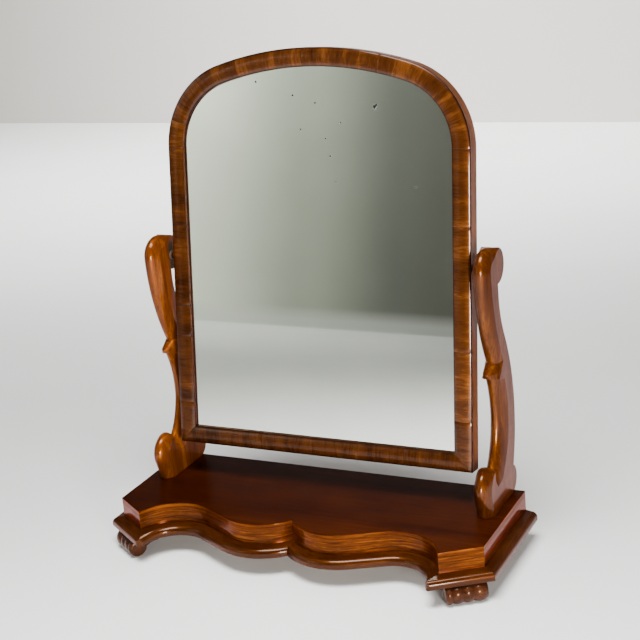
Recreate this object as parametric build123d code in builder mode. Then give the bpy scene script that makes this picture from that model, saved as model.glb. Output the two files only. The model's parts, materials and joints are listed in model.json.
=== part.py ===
from build123d import *
import os
from math import acos, atan2, cos, degrees, hypot, radians, sin, sqrt

# Swing toilet mirror: an arched frame hung between two S-scroll uprights on a low
# serpentine platform with canted corners and four feet.
# X runs to the right, Y to the back, Z up. Depths are measured forward from the back
# edge of the top board, heights up from the table.

os.makedirs("parts", exist_ok=True)

# ---------------------------------------------------------------- driving dimensions
# platform, in plan
board_half = 290.0         # half width of the top board
side_depth = 180.0         # depth of the straight sides
cant_half = 237.0          # half width at the front end of the cants
lobe_x = 60.0              # centre of each swelling front
lobe_radius = 75.0
lobe_depth = 209.0         # depth at the crown of the swelling front
hollow_x = 172.0           # centre of each hollow
hollow_radius = 69.0
hollow_depth = 170.0       # depth at the bottom of the hollow
frieze_thickness = 16.0
joint_gap = 0.05           # glue line between neighbouring blocks

# platform, heights
foot_height = 28.5
plinth_height = 15.5       # bottom board and the moulding round it
frieze_height = 21.5
top_thickness = 9.0
top_arris = 1.2            # softened edges of the top board

# moulding round the bottom board
moulding_out = 17.0
moulding_flat = 9.0        # nearly level top before the thumb round
moulding_fall = 1.5        # how far that top falls
moulding_lip = 2.0         # upright bottom edge of the thumb
moulding_under = 2.5       # set back of the underside
moulding_corner = 7.0      # rounding of the sharp corners at the front
corner_proud = 0.2         # how far that arc would stand out of both sides
corner_spare = 2.1         # how far its cutter reaches past the arc's ends

# inside the platform
bearer_width = 24.0
bearer_length = 118.0
block_size = 22.0
block_height = 18.0
block_places = (60.0, 190.0)

# front feet
roll_length = 59.0
roll_radius = 14.6
roll_grooves = (9.5, 24.5, 38.5)    # from the roll's front end
groove_depth = 2.0
roll_out = 6.0             # roll centre in front of the frieze face
roll_shift = 1.8           # along the cant, towards the side
roll_end_radius = 10.5     # flat disc left on each end of the roll
tail_length = 34.0         # scroll's tail behind the roll centre
tail_thickness = 12.0
tail_throat = -10.0        # where the tail's hollow leaves the roll, degrees
tail_hollow = 1.5
tail_inset = 4.0

# rear feet
rear_foot_width = 34.0
rear_foot_depth = 26.0
rear_foot_inset = 7.0
rear_foot_round = 5.0

# uprights
upright_inner = 249.0      # inner face from the middle
upright_thickness = 26.0
head_nose = 16.0           # how deep the rounding of the front edge is, in three parts
waist_nose = 23.0
scroll_nose = 17.0
nose_fullness = 0.55       # how blunt the rounding is: 1/3 would be a parabola
run_out = 0.6              # depth to which the rounding fades over the head
fade_back = 4.0            # wood carried behind a fading rounding
tongue_nose = 12.0         # depth of the rounding at its tip behind the scroll
tongue_start = 225.0       # where the waist's rounding starts to narrow, degrees
tongue_end = 233.0         # and where it ends, at the foot of the notch
horn_nose = 2.0            # rounding left at the tip of the scroll
horn_start = 60.0          # where the scroll's rounding starts to fade, degrees
horn_end = 125.0
toe_nose = 7.0             # rounding left past the toe
horn_top = 80.0            # depth of the notch's front wall at the top of the scroll
pivot_depth = 24.0
pivot_height = 415.0
head_front = 72.0          # depth of the head's front
head_radius = 31.0
head_height = 418.5
curl_radius = 25.0         # round back of the head
curl_rear = 1.0
curl_rise = 3.0            # curl's centre above the head's
brow_radius = 70.0         # flat arc over the top
belly_radius = 310.0
knop_front = 59.0
knop_height = 271.0        # level of its foremost point
knop_nose = 27.0           # depth of its rounding there
knop_rise = 14.0           # from there up to where it is lost in the belly
knop_bury = 34.0           # its front at that level, inside the belly
knop_bury_nose = 12.0
knop_foot_front = 53.0     # its front if it ran on below its lower edge
knop_foot_nose = 2.2
knop_foot = 17.0
knop_lip = 4.5             # from its foremost point down to its lower edge
knop_lip_rear = 16.0       # the same at its root, as the underside falls
knop_root_depth = 20.0
waist_depth = 36.0
waist_radius = 104.0
waist_upper_radius = 140.0
waist_height = 203.0
scroll_front = 115.0
scroll_radius = 30.0
scroll_height = 114.0
toe_depth = 102.0          # front of the foot of the scroll on the board
heel_radius = 22.0
heel_swell = 10.0          # how far the heel stands behind the board's back edge
heel_height = 95.5
back_radius = 250.0
back_swell = 15.0
back_height = 203.0
nape_depth = 29.0
nape_height = 384.0

# mirror frame
frame_half = 239.0
frame_height = 596.0
frame_depth = 28.0
face_width = 27.0
crown_radius = 512.0       # flat arc of the arch
shoulder_radius = 124.0    # round shoulders of the arch
pivot_from_bottom = 290.0
tilt_at_rest = 8.0         # leaning back, degrees
facing_depth = 8.0
facing_edge = 4.6          # thickness left at the facing's outer edge
cushion_rise = 3.4
core_width = 19.0
ledge_width = 6.0          # step that the backboard sits on
ledge_depth = 7.0
glass_thickness = 4.0
glass_clearance = 1.0
backboard_thickness = 6.5
backboard_chamfer = 1.5
backboard_bevel = 3.25     # how far the chamfer runs in over its back
tenon_thickness = 6.0
tenon_length = 12.0
tenon_shoulder = 4.75      # width of wood left beside a tenon
facing_round = 1.2
glass_block_width = 7.0
glass_block_length = 26.0
block_heights = (-190.0, 0.0, 130.0)
block_across = 110.0       # of the blocks on the rail and the arch
block_sag = 3.0

# concealed movement
pin_radius = 3.5
running_clearance = 0.05
collar_radius = 5.0
collar_length = 7.0
washer_radius = 6.8
washer_clearance = 0.2     # on each face of the washer
washer_bore_clearance = 0.3
bush_radius = 5.6
bush_length = 16.0
pin_end_clearance = 1.0
plate_length = 44.0
plate_width = 12.0         # socket plate, in the upright
pivot_plate_width = 11.0   # pivot plate, in the frame's edge
plate_thickness = 2.0
plate_screw_pitch = 31.0

# screws
small_screw_radius = 1.5
small_screw_length = 12.0
small_head_radius = 2.8
wood_screw_radius = 2.4
wood_screw_head = 4.6
wood_screw_rim = 2.6       # height of the flat-bottomed head
upright_screw_length = 52.0
upright_screw_recess = 3.0
upright_screw_depths = (30.0, 80.0)
foot_screw_length = 22.0
foot_screw_recess = 16.0
foot_screw_back = 12.0     # behind the roll's axis
pin_nail_radius = 0.9
pin_nail_length = 15.0
pin_nail_head = 1.5
pin_nail_rim = 0.8
pin_inset = 17.0           # from the frame's outer edge
pin_heights = (-215.0, -75.0, 75.0)
pin_across = 90.0          # of the pins along the bottom

# ---------------------------------------------------------------- levels and places
plinth_top = foot_height + plinth_height
frieze_top = plinth_top + frieze_height
top_level = frieze_top + top_thickness
upright_outer = upright_inner + upright_thickness
upright_middle = upright_inner + upright_thickness / 2
bearer_middle = board_half - frieze_thickness - bearer_width / 2
lean = radians(tilt_at_rest)
tiny = 0.001
frame_above = frame_height - pivot_from_bottom
straight_top = frame_above - (crown_radius - sqrt((crown_radius - shoulder_radius) ** 2
                                                 - (frame_half - shoulder_radius) ** 2))


def unit(x, y):
    """A direction of length one."""
    size = hypot(x, y)
    return x / size, y / size


# cant line: from its front corner to its side corner, and its outward direction
lobe_centre = (lobe_x, -(lobe_depth - lobe_radius))
hollow_centre = (hollow_x, -(hollow_depth + hollow_radius))
cant_front = (cant_half, hollow_centre[1] + sqrt(hollow_radius ** 2 - (cant_half - hollow_x) ** 2))
cant_side = (board_half, -side_depth)
cant_dir = unit(cant_side[0] - cant_front[0], cant_side[1] - cant_front[1])
cant_out = (cant_dir[1], -cant_dir[0])


def front_corner(out):
    """Corner between the hollow and the cant, on an outline moved out by out."""
    off = ((cant_front[0] - hollow_centre[0]) * cant_out[0]
           + (cant_front[1] - hollow_centre[1]) * cant_out[1] + out)
    along = sqrt((hollow_radius - out) ** 2 - off ** 2)
    return (hollow_centre[0] + off * cant_out[0] + along * cant_dir[0],
            hollow_centre[1] + off * cant_out[1] + along * cant_dir[1])


def side_corner(out):
    """Corner between the cant and the side, on an outline moved out by out."""
    x = board_half + out
    y = cant_side[1] + ((x - cant_side[0]) * cant_out[0] - out) / -cant_out[1]
    return x, y


def swell_points(out):
    """Cusp, lobe crown, the two ends of the easing line, and the hollow's bottom."""
    r1 = lobe_radius + out
    r2 = hollow_radius - out
    gap = (hollow_centre[0] - lobe_centre[0], hollow_centre[1] - lobe_centre[1])
    turn = atan2(gap[1], gap[0]) - acos((r1 + r2) / hypot(*gap))
    n = (cos(turn), sin(turn))
    cusp = (0.0, lobe_centre[1] - sqrt(r1 ** 2 - lobe_x ** 2))
    crown = (lobe_x, lobe_centre[1] - r1)
    leave = (lobe_centre[0] + r1 * n[0], lobe_centre[1] + r1 * n[1])
    meet = (hollow_centre[0] - r2 * n[0], hollow_centre[1] - r2 * n[1])
    bottom = (hollow_x, hollow_centre[1] + r2)
    return cusp, crown, leave, meet, bottom


# The sharp front corner of the moulding is rounded by an arc that just cuts both its sides.
corner_tip = front_corner(moulding_out)
corner_off = ((corner_tip[0] - hollow_centre[0]) * cant_out[0]
              + (corner_tip[1] - hollow_centre[1]) * cant_out[1] - moulding_corner)
corner_along = sqrt((hollow_radius - moulding_out + moulding_corner) ** 2 - corner_off ** 2)
corner_centre = (hollow_centre[0] + corner_off * cant_out[0] + corner_along * cant_dir[0],
                 hollow_centre[1] + corner_off * cant_out[1] + corner_along * cant_dir[1])
corner_in = unit(corner_centre[0] - hollow_centre[0], corner_centre[1] - hollow_centre[1])
corner_way = unit(corner_tip[0] - corner_centre[0], corner_tip[1] - corner_centre[1])

# The whole object reaches from the moulding's front corners to the top of the leaning
# frame, and the origin is half way between.
front_reach = moulding_corner + corner_proud - corner_centre[1]
back_reach = (frame_above * sin(lean) + frame_depth / 2 * cos(lean)) - pivot_depth
back_y = (front_reach - back_reach) / 2


def plan(point):
    """A point given from the board's back edge, in the part's frame."""
    return point[0], point[1] + back_y


def front_chain(out):
    """Right half of the front outline, from the cusp to the cant's front corner."""
    cusp, crown, leave, meet, bottom = [plan(p) for p in swell_points(out)]
    corner = plan(front_corner(out))
    ThreePointArc(cusp, crown, leave)
    Line(leave, meet)
    ThreePointArc(meet, bottom, corner)
    return cusp, corner


def half_board_plan(out):
    """Right half of the plan of a platform board, moved out from the frieze face."""
    with BuildSketch() as outline:
        with BuildLine():
            cusp, corner = front_chain(out)
            side = plan(side_corner(out))
            Polyline(corner, side, (side[0], back_y), (0, back_y), cusp)
        make_face()
    return outline.sketch


def save(builder, name):
    """Label a finished piece and write it."""
    builder.part.label = name
    export_step(builder.part, f"parts/{name}.step")


def save_pair(builder, stem):
    """Write a right-hand piece, and its left-hand twin mirrored across the middle."""
    save(builder, f"{stem}_right")
    with BuildPart() as twin:
        add(builder.part)
        mirror(about=Plane.YZ, mode=Mode.REPLACE)
    save(twin, f"{stem}_left")


# where the feet are fixed
cant_middle = ((cant_front[0] + cant_side[0]) / 2, (cant_front[1] + cant_side[1]) / 2)
roll_middle = plan((cant_middle[0] + roll_out * cant_out[0] + roll_shift * cant_dir[0],
                    cant_middle[1] + roll_out * cant_out[1] + roll_shift * cant_dir[1]))
foot_screw_place = (roll_middle[0] - foot_screw_back * cant_out[0],
                    roll_middle[1] - foot_screw_back * cant_out[1])
rear_foot_place = (board_half - rear_foot_inset - rear_foot_width / 2,
                   back_y - rear_foot_inset - rear_foot_depth / 2)
foot_screw_grip = foot_screw_recess - wood_screw_rim + foot_screw_length - foot_height + joint_gap


def screw(place, towards, length, radius, head_radius, rim, taper, ease=0.0):
    """Wood screw from the middle of its head's top; ease makes the tool for its hole."""
    stand = Plane(origin=place, z_dir=towards)
    with BuildPart() as turned:
        with BuildSketch(Plane(origin=place, x_dir=stand.x_dir, z_dir=-stand.y_dir)):
            with BuildLine():
                r = radius + ease
                head_r = head_radius + ease
                Polyline((0, 0), (head_r, 0), (head_r, rim), (r, rim + taper),
                         (r, length - 2 * radius), (0, length + ease), close=True)
            make_face()
        revolve(axis=Axis(origin=place, direction=stand.z_dir))
    return turned.part


# ---------------------------------------------------------------- platform
with BuildPart() as top_board:
    with BuildSketch(Plane.XY.offset(frieze_top)):
        add(half_board_plan(0))
    extrude(amount=top_thickness)
    rim = top_board.faces().sort_by(Axis.Z)[-1].edges()
    fillet(rim.filter_by(lambda edge: edge.center().X > tiny), top_arris)
    mirror(about=Plane.YZ)
    with Locations(*[(side * upright_middle, back_y - depth, top_level)
                     for side in (-1, 1) for depth in upright_screw_depths]):
        Hole(wood_screw_radius + joint_gap)
save(top_board, "top_board")

with BuildPart() as bottom_board:
    with BuildSketch(Plane.XY.offset(foot_height)):
        add(half_board_plan(-joint_gap))
    extrude(amount=plinth_height)
    with BuildSketch(Plane.XY.offset(foot_height)):
        with Locations(foot_screw_place, rear_foot_place):
            Circle(wood_screw_radius + joint_gap)
    extrude(amount=foot_screw_grip, mode=Mode.SUBTRACT)
    mirror(about=Plane.YZ)
save(bottom_board, "bottom_board")

# The front blocks are sawn to the serpentine in front and left straight behind.
block_back = -(hollow_depth - frieze_thickness)
cant_joint = (cant_half, cant_front[1] - frieze_thickness / cant_out[1])

with BuildPart() as frieze_front_right:
    with BuildSketch(Plane.XY.offset(plinth_top)):
        with BuildLine():
            cusp, corner = front_chain(0)
            Polyline(corner, plan((cant_half, block_back)), plan((0, block_back)), cusp)
        make_face()
    extrude(amount=frieze_height)
save_pair(frieze_front_right, "frieze_front")

with BuildPart() as frieze_cant_right:
    with BuildSketch(Plane.XY.offset(plinth_top)):
        with BuildLine():
            Polyline(plan(cant_front), plan(side_corner(0)),
                     plan(side_corner(-frieze_thickness)), plan(cant_joint), close=True)
        make_face()
    extrude(amount=frieze_height)
save_pair(frieze_cant_right, "frieze_cant")

with BuildPart() as frieze_side_right:
    with BuildSketch(Plane.XY.offset(plinth_top)):
        with BuildLine():
            outer = plan(side_corner(0))
            inner = plan(side_corner(-frieze_thickness))
            Polyline(outer, (outer[0], back_y), (inner[0], back_y), inner, close=True)
        make_face()
    extrude(amount=frieze_height)
save_pair(frieze_side_right, "frieze_side")

with BuildPart() as back_rail:
    rail_half = board_half - frieze_thickness
    with BuildSketch(Plane.XY.offset(plinth_top)):
        with Locations((0, back_y - frieze_thickness / 2)):
            Rectangle(2 * rail_half, frieze_thickness)
    extrude(amount=frieze_height)
save(back_rail, "back_rail")


def moulding_section():
    """Thumb moulding section: X is outwards from the frieze face, Y is up."""
    start = (0, 0)
    under = (moulding_out - moulding_under, 0)
    lip = (moulding_out, moulding_lip)
    nose = (moulding_out, plinth_height - moulding_fall - moulding_out + moulding_flat)
    brow = (moulding_flat, plinth_height - moulding_fall)
    with BuildSketch() as section:
        with BuildLine():
            Line(start, under)
            RadiusArc(under, lip, -moulding_under)
            Line(lip, nose)
            RadiusArc(nose, brow, -(moulding_out - moulding_flat))
            Polyline(brow, (0, plinth_height), start)
        make_face()
    return section.sketch


def mitre(inner, outer):
    """Upright plane through the inner and outer ends of a mitre."""
    along = unit(outer[0] - inner[0], outer[1] - inner[1])
    return Plane(origin=(inner[0], inner[1], 0), x_dir=(along[0], along[1], 0),
                 z_dir=(-along[1], along[0], 0))


with BuildPart() as corner_waste:
    ways = (corner_in, cant_out)
    reach = moulding_corner + corner_spare
    touch, far_touch = [(corner_centre[0] + side * reach * way[0],
                         corner_centre[1] + side * reach * way[1])
                        for side, way in zip((-1, 1), ways)]
    beyond = (corner_tip[0] + moulding_corner * corner_way[0],
              corner_tip[1] + moulding_corner * corner_way[1])
    with BuildSketch(Plane.XY.offset(foot_height - reach)):
        with BuildLine():
            Polyline(plan(corner_centre), plan(touch), plan(beyond), plan(far_touch), close=True)
        make_face()
        with Locations(plan(corner_centre)):
            Circle(moulding_corner + corner_proud, mode=Mode.SUBTRACT)
    extrude(amount=plinth_height + 2 * reach)

front_mitre = mitre(plan(front_corner(0)), plan(corner_tip))
side_mitre = mitre(plan(side_corner(0)), plan(side_corner(moulding_out)))
overrun = radians(34.0)    # extra sweep that the mitre cuts away
cusp_overrun = radians(4.25)

with BuildPart() as moulding_front_right:
    cusp, crown, leave, meet, bottom = [plan(p) for p in swell_points(0)]
    lobe_mid = plan(lobe_centre)
    hollow_mid = plan(hollow_centre)
    first = atan2(cusp[1] - lobe_mid[1], cusp[0] - lobe_mid[0]) - cusp_overrun
    start = (lobe_mid[0] + lobe_radius * cos(first), lobe_mid[1] + lobe_radius * sin(first))
    last = atan2(cant_front[1] - hollow_centre[1], cant_front[0] - hollow_centre[0]) - overrun
    finish = (hollow_mid[0] + hollow_radius * cos(last), hollow_mid[1] + hollow_radius * sin(last))
    with BuildLine(Plane.XY.offset(foot_height)) as run:
        ThreePointArc(start, crown, leave)
        Line(leave, meet)
        ThreePointArc(meet, bottom, finish)
    with BuildSketch(Plane(origin=(start[0], start[1], foot_height),
                           x_dir=(cos(first), sin(first), 0),
                           z_dir=(sin(first), -cos(first), 0))):
        add(moulding_section())
    sweep(path=run.wire())
    split(bisect_by=Plane.YZ, keep=Keep.TOP)
    split(bisect_by=front_mitre, keep=Keep.BOTTOM)
    add(corner_waste.part, mode=Mode.SUBTRACT)
save_pair(moulding_front_right, "moulding_front")

with BuildPart() as moulding_cant_right:
    corner = plan(front_corner(0))
    length = hypot(cant_side[0] - cant_front[0], cant_side[1] - cant_front[1])
    with BuildSketch(Plane(origin=(corner[0], corner[1], foot_height),
                           x_dir=(cant_out[0], cant_out[1], 0),
                           z_dir=(-cant_dir[0], -cant_dir[1], 0)).offset(2 * moulding_out)):
        add(moulding_section())
    extrude(amount=-(length + 4 * moulding_out))
    split(bisect_by=front_mitre, keep=Keep.TOP)
    split(bisect_by=side_mitre, keep=Keep.BOTTOM)
    add(corner_waste.part, mode=Mode.SUBTRACT)
save_pair(moulding_cant_right, "moulding_cant")

with BuildPart() as moulding_side_right:
    with BuildSketch(Plane(origin=(board_half, back_y, foot_height), x_dir=(1, 0, 0),
                           z_dir=(0, -1, 0))):
        add(moulding_section())
    extrude(amount=side_depth + 2 * moulding_out)
    split(bisect_by=side_mitre, keep=Keep.TOP)
save_pair(moulding_side_right, "moulding_side")


# ---------------------------------------------------------------- inside the platform
def right_angle_block(corner, x_way, y_way, size):
    """Triangular glue block in the angle of two boards."""
    x, y = corner
    with BuildSketch() as outline:
        with BuildLine():
            Polyline((x, y), (x + x_way * size, y), (x, y + y_way * size), close=True)
        make_face()
    return outline.sketch


with BuildPart() as bearer_right:
    with BuildSketch(Plane.XY.offset(plinth_top)):
        with Locations((bearer_middle, back_y - frieze_thickness - bearer_length / 2)):
            Rectangle(bearer_width, bearer_length)
    extrude(amount=frieze_height)
    with Locations(*[Location((upright_middle, back_y - depth, plinth_top), (180, 0, 0))
                     for depth in upright_screw_depths]):
        CounterBoreHole(wood_screw_radius + joint_gap, wood_screw_head + joint_gap,
                        upright_screw_recess)
save_pair(bearer_right, "bearer")

with BuildPart() as glue_blocks:
    rear = back_y - frieze_thickness
    with BuildSketch(Plane.XY.offset(plinth_top)):
        for x in block_places:
            add(right_angle_block((x, rear), 1, -1, block_size))
            add(right_angle_block((-x, rear), -1, -1, block_size))
        front = block_back + back_y
        for x in block_places:
            add(right_angle_block((x, front), 1, 1, block_size))
            add(right_angle_block((-x, front), -1, 1, block_size))
    extrude(amount=block_height)
save(glue_blocks, "glue_blocks")

# ---------------------------------------------------------------- feet
# Each front foot is a scroll seen from its end: a ringed roll in front, its axis along
# the cant, with a tail that runs back under the bottom board.
roll_level = foot_height / 2
roll_end = Plane(origin=(roll_middle[0] - roll_length / 2 * cant_dir[0],
                         roll_middle[1] - roll_length / 2 * cant_dir[1], roll_level),
                 x_dir=(-cant_out[0], -cant_out[1], 0), z_dir=(cant_dir[0], cant_dir[1], 0))
roll_axis = Axis(origin=(roll_middle[0], roll_middle[1], roll_level),
                 direction=(cant_dir[0], cant_dir[1], 0))
roll_side = Plane(origin=roll_end.origin, x_dir=(cant_dir[0], cant_dir[1], 0),
                  z_dir=(cant_out[0], cant_out[1], 0))

with BuildPart() as foot_front_right:
    with BuildSketch(roll_side):
        with BuildLine():
            valley = roll_radius - groove_depth
            stops = (0.0, *roll_grooves, roll_length)
            edge = [(0.0, roll_end_radius)] + [(place, valley) for place in roll_grooves]
            edge.append((roll_length, roll_end_radius))
            for step in range(len(edge) - 1):
                middle = (stops[step] + stops[step + 1]) / 2
                ThreePointArc(edge[step], (middle, roll_radius), edge[step + 1])
            Polyline(edge[-1], (roll_length, 0), (0, 0), edge[0])
        make_face()
    revolve(axis=roll_axis)
    with BuildSketch(roll_end.offset(tail_inset)):
        with BuildLine():
            tip = (tail_length, foot_height / 2)
            under = (tail_length, foot_height / 2 - tail_thickness)
            throat = (roll_radius * cos(radians(tail_throat)), roll_radius * sin(radians(tail_throat)))
            Polyline(under, tip, (0, foot_height / 2), (0, 0), throat)
            ThreePointArc(throat, ((under[0] + throat[0]) / 2 - tail_hollow,
                                   (under[1] + throat[1]) / 2 + tail_hollow), under)
        make_face()
    extrude(amount=roll_length - 2 * tail_inset)
    with BuildSketch(Plane.XY):
        with Locations(roll_middle):
            Rectangle(4 * roll_length, 4 * roll_length)
    extrude(amount=foot_height, mode=Mode.INTERSECT)
    with Locations(Location((*foot_screw_place, 0), (180, 0, 0))):
        CounterBoreHole(wood_screw_radius + joint_gap, wood_screw_head + joint_gap,
                        foot_screw_recess)
save_pair(foot_front_right, "foot_front")

with BuildPart() as foot_rear_right:
    with BuildSketch(Plane.XY):
        with Locations(rear_foot_place):
            RectangleRounded(rear_foot_width, rear_foot_depth, rear_foot_round)
    extrude(amount=foot_height)
    with Locations(Location((*rear_foot_place, 0), (180, 0, 0))):
        CounterBoreHole(wood_screw_radius + joint_gap, wood_screw_head + joint_gap,
                        foot_screw_recess)
save_pair(foot_rear_right, "foot_rear")

# ---------------------------------------------------------------- uprights
# Each upright is sawn from a board to an S-scroll, seen here from its side as (depth in
# front of the board's back edge, height). Its front edge is rounded right over.


def polar(centre, radius, angle):
    """Point on a circle, the angle in degrees from straight forward."""
    return (centre[0] + radius * cos(radians(angle)), centre[1] + radius * sin(radians(angle)))


def arcs_meet(c1, r1, c2, r2, side):
    """One of the two points where two circles cross."""
    gap = hypot(c2[0] - c1[0], c2[1] - c1[1])
    ux, uy = (c2[0] - c1[0]) / gap, (c2[1] - c1[1]) / gap
    along = (r1 ** 2 - r2 ** 2 + gap ** 2) / (2 * gap)
    off = side * sqrt(r1 ** 2 - along ** 2)
    return (c1[0] + along * ux - off * uy, c1[1] + along * uy + off * ux)


def tangent_touch(point, centre, radius, side):
    """Where a line from a point touches a circle."""
    gap = hypot(point[0] - centre[0], point[1] - centre[1])
    away = degrees(atan2(point[1] - centre[1], point[0] - centre[0]))
    return polar(centre, radius, away + side * degrees(acos(radius / gap)))


def inner_touch(big, small, radius):
    """Where a small circle, of that radius, touches a big one from the inside."""
    ux, uy = unit(small[0] - big[0], small[1] - big[1])
    return small[0] + radius * ux, small[1] + radius * uy


def lines_cross(point, way, other, other_way):
    """Where a line from a point crosses another."""
    turn = way[0] * other_way[1] - way[1] * other_way[0]
    along = ((other[0] - point[0]) * other_way[1] - (other[1] - point[1]) * other_way[0]) / turn
    return point[0] + along * way[0], point[1] + along * way[1]


# centres of the arcs of the outline
head = (head_front - head_radius, head_height)
curl = (curl_rear + curl_radius, head_height + curl_rise)
brow = arcs_meet(head, brow_radius - head_radius, curl, brow_radius - curl_radius, 1)
belly = (head_front - belly_radius, head_height)
back = (back_radius - back_swell, back_height)
nape_reach = nape_depth - back[0]
nape_rise = nape_height - back_height
nape_radius = ((nape_reach ** 2 + nape_rise ** 2 - back_radius ** 2)
               / (2 * (back_radius + nape_reach)))
nape = (nape_depth - nape_radius, nape_height)
waist = (waist_depth + waist_radius, waist_height)
upper_waist = (waist_depth + waist_upper_radius, waist_height)
waist_narrow = (waist_depth, waist_height)
scroll = (scroll_front - scroll_radius, scroll_height)
heel = (heel_radius - heel_swell, heel_height)


def arc_about(centre, start, end):
    """Arc of under a half turn from start to end about a centre."""
    radius = hypot(start[0] - centre[0], start[1] - centre[1])
    ux, uy = unit((start[0] + end[0]) / 2 - centre[0], (start[1] + end[1]) / 2 - centre[1])
    return ThreePointArc(start, (centre[0] + radius * ux, centre[1] + radius * uy), end)


def circle_depth(centre, radius, height, side):
    """Depth of a circle at a height, on its front (1) or rear (-1) side."""
    return centre[0] + side * sqrt(radius ** 2 - (height - centre[1]) ** 2)


upright_face = Plane(origin=(upright_outer, back_y, 0), x_dir=(0, -1, 0), z_dir=(-1, 0, 0))
nape_top = (nape_depth, nape_height)
belly_top = (head_front, head_height)
heel_foot = (circle_depth(heel, heel_radius, top_level, -1), top_level)
heel_notch = arcs_meet(heel, heel_radius, back, back_radius, 1)
back_leave = (back[0] + (nape[0] - back[0]) * back_radius / (back_radius + nape_radius),
              back[1] + (nape[1] - back[1]) * back_radius / (back_radius + nape_radius))
curl_notch = (nape_depth, curl[1] - sqrt(curl_radius ** 2 - (nape_depth - curl[0]) ** 2))
curl_touch = inner_touch(brow, curl, curl_radius)
head_touch = inner_touch(brow, head, head_radius)
knop_belly = (circle_depth(belly, belly_radius, knop_height, 1), knop_height)
knop_waist = (circle_depth(upper_waist, waist_upper_radius, knop_height, -1), knop_height)
knop_root = (circle_depth(upper_waist, waist_upper_radius + waist_nose, knop_height, -1), knop_height)
notch_foot = polar(waist, waist_radius, tongue_end)
toe = (toe_depth, top_level)
toe_touch = tangent_touch(toe, scroll, scroll_radius, 1)


def inset(centre, point, amount):
    """A point on a circle moved straight towards its centre."""
    ux, uy = unit(centre[0] - point[0], centre[1] - point[1])
    return point[0] + amount * ux, point[1] + amount * uy


def nose_section(centre, point, outward, deep, carried=0.0):
    """Rounding of the front edge, its tip on the outline, with wood carried behind it."""
    ux, uy = unit(point[0] - centre[0], point[1] - centre[1])
    ux, uy = outward * ux, outward * uy
    stand = Plane(origin=(upright_middle, back_y - point[0], point[1]),
                  x_dir=(0, -ux, uy), z_dir=(0, -uy, -ux))
    half = upright_thickness / 2
    with BuildSketch(stand) as section:
        with BuildLine():
            Bezier((-deep, half), (deep / 3, nose_fullness * half),
                   (deep / 3, -nose_fullness * half), (-deep, -half))
            if carried:
                Polyline((-deep, -half), (-carried, -half), (-carried, half), (-deep, half))
            else:
                Line((-deep, -half), (-deep, half))
        make_face()
    return section.sketch


# ---------------------------------------------------------------- screws and plates
# The mirror hangs on a concealed movement: a pin on a plate let into each edge of the
# frame turns in a bush on a plate let into each upright.
pivot = (0, back_y - pivot_depth, pivot_height)
socket_face = Plane(origin=(upright_inner, pivot[1], pivot[2]), x_dir=(0, -1, 0), z_dir=(1, 0, 0))
edge_face = Plane(origin=(frame_half, pivot[1], pivot[2]), x_dir=(0, -cos(lean), sin(lean)),
                  z_dir=(1, 0, 0))
plate_screws = [(0, -plate_screw_pitch / 2), (0, plate_screw_pitch / 2)]


def plate_outline(width, extra=0.0):
    """Round-ended plate, with an allowance all round."""
    with BuildSketch() as outline:
        SlotOverall(plate_length + 2 * extra, width + 2 * extra, rotation=90)
    return outline.sketch


def small_screws(face, way, ease=0.0):
    """The two countersunk screws of a plate; way is 1 for +X and -1 for -X."""
    with BuildPart() as pair:
        for x, y in plate_screws:
            place = face.from_local_coords((x, y, 0))
            add(screw(tuple(place), (way, 0, 0), small_screw_length, small_screw_radius,
                      small_head_radius, tiny, small_head_radius - small_screw_radius, ease))
    return pair.part


def upright_screw_set(ease=0.0):
    """The two screws that come up through a bearer and the top board."""
    with BuildPart() as pair:
        for depth in upright_screw_depths:
            start = plinth_top + upright_screw_recess - wood_screw_rim
            add(screw((upright_middle, back_y - depth, start), (0, 0, 1), upright_screw_length,
                      wood_screw_radius, wood_screw_head, wood_screw_rim, 0, ease))
    return pair.part


with BuildPart() as upright_screws:
    add(upright_screw_set())
    mirror(about=Plane.YZ)
save(upright_screws, "upright_screws")

with BuildPart() as foot_screws:
    for place in (foot_screw_place, rear_foot_place):
        add(screw((*place, foot_screw_recess - wood_screw_rim), (0, 0, 1), foot_screw_length,
                  wood_screw_radius, wood_screw_head, wood_screw_rim, 0))
    mirror(about=Plane.YZ)
save(foot_screws, "foot_screws")

with BuildPart() as socket_screws:
    add(small_screws(socket_face, 1))
    mirror(about=Plane.YZ)
save(socket_screws, "socket_screws")

with BuildPart() as pivot_screws:
    add(small_screws(edge_face, -1))
    mirror(about=Plane.YZ)
save(pivot_screws, "pivot_screws")

with BuildPart() as socket_right:
    with BuildSketch(socket_face):
        add(plate_outline(plate_width))
    extrude(amount=plate_thickness)
    with BuildSketch(socket_face):
        Circle(bush_radius)
    extrude(amount=bush_length)
    with BuildSketch(socket_face):
        Circle(pin_radius + running_clearance)
    extrude(amount=bush_length, mode=Mode.SUBTRACT)
    add(small_screws(socket_face, 1, joint_gap), mode=Mode.SUBTRACT)
save_pair(socket_right, "socket")

with BuildPart() as socket_recess:
    with BuildSketch(socket_face):
        add(plate_outline(plate_width, joint_gap))
    extrude(amount=plate_thickness)
    with BuildSketch(socket_face):
        Circle(bush_radius + joint_gap)
    extrude(amount=bush_length + joint_gap)
    add(small_screws(socket_face, 1, joint_gap))

with BuildPart() as pivot_right:
    with BuildSketch(edge_face.offset(-plate_thickness)):
        add(plate_outline(pivot_plate_width))
    extrude(amount=plate_thickness)
    add(small_screws(edge_face, -1, joint_gap), mode=Mode.SUBTRACT)
    with BuildSketch(edge_face):
        Circle(collar_radius)
    extrude(amount=collar_length)
    with BuildSketch(edge_face):
        Circle(pin_radius)
    extrude(amount=upright_inner - frame_half + bush_length - pin_end_clearance)
save_pair(pivot_right, "pivot")

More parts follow.
